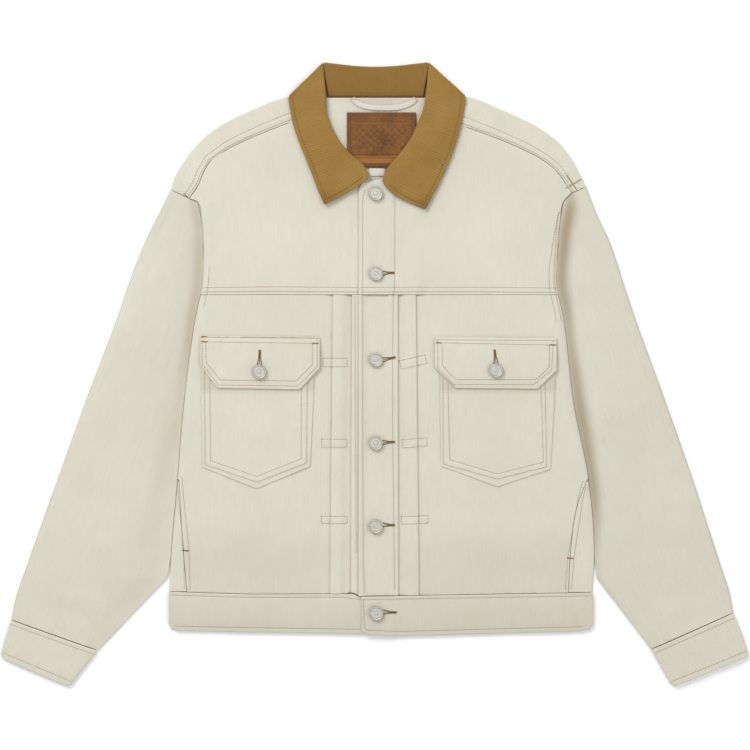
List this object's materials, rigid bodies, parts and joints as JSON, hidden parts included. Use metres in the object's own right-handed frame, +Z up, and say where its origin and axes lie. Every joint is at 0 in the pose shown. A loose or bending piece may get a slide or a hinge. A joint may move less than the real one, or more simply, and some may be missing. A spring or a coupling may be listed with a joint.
{
  "type": "denim jacket",
  "caption": "Boxy ecru denim jacket laid flat, buttoned, with a corduroy collar, pleated fronts, flap pockets, a waistband and full sleeves.",
  "frame": {"origin": "on the surface the jacket lies on, under the middle of its box", "axes": "+X towards the wearer's left (the viewer's right), +Y towards the collar, +Z up from the surface"},
  "size_m": [0.8964, 0.7486, 0.0149],
  "materials": {
    "denim": "undyed ecru twill, matt",
    "corduroy": "camel corduroy with fine wales",
    "leather": "brown leather patch, satin",
    "tape": "white woven tape",
    "metal": "aged pewter shank buttons"
  },
  "bodies": {
    "root": {"back_panel": "denim", "back_yoke": "denim", "button_flap_left": "metal", "button_flap_right": "metal", "button_front_1": "metal", "button_front_2": "metal", "button_front_3": "metal", "button_front_4": "metal", "button_front_5": "metal", "button_front_6": "metal", "care_label": "tape", "collar_back": "corduroy", "collar_left": "corduroy", "collar_right": "corduroy", "cuff_left": "denim", "cuff_right": "denim", "flap_left": "denim", "flap_right": "denim", "front_panel_left": "denim", "front_panel_right": "denim", "front_yoke_left": "denim", "front_yoke_right": "denim", "hanger_loop": "tape", "patch": "leather", "pocket_left": "denim", "pocket_right": "denim", "side_panel_left": "denim", "side_panel_right": "denim", "topsleeve_left": "denim", "topsleeve_right": "denim", "undersleeve_left": "denim", "undersleeve_right": "denim", "waistband_back": "denim", "waistband_left": "denim", "waistband_right": "denim"}
  },
  "joints": []
}
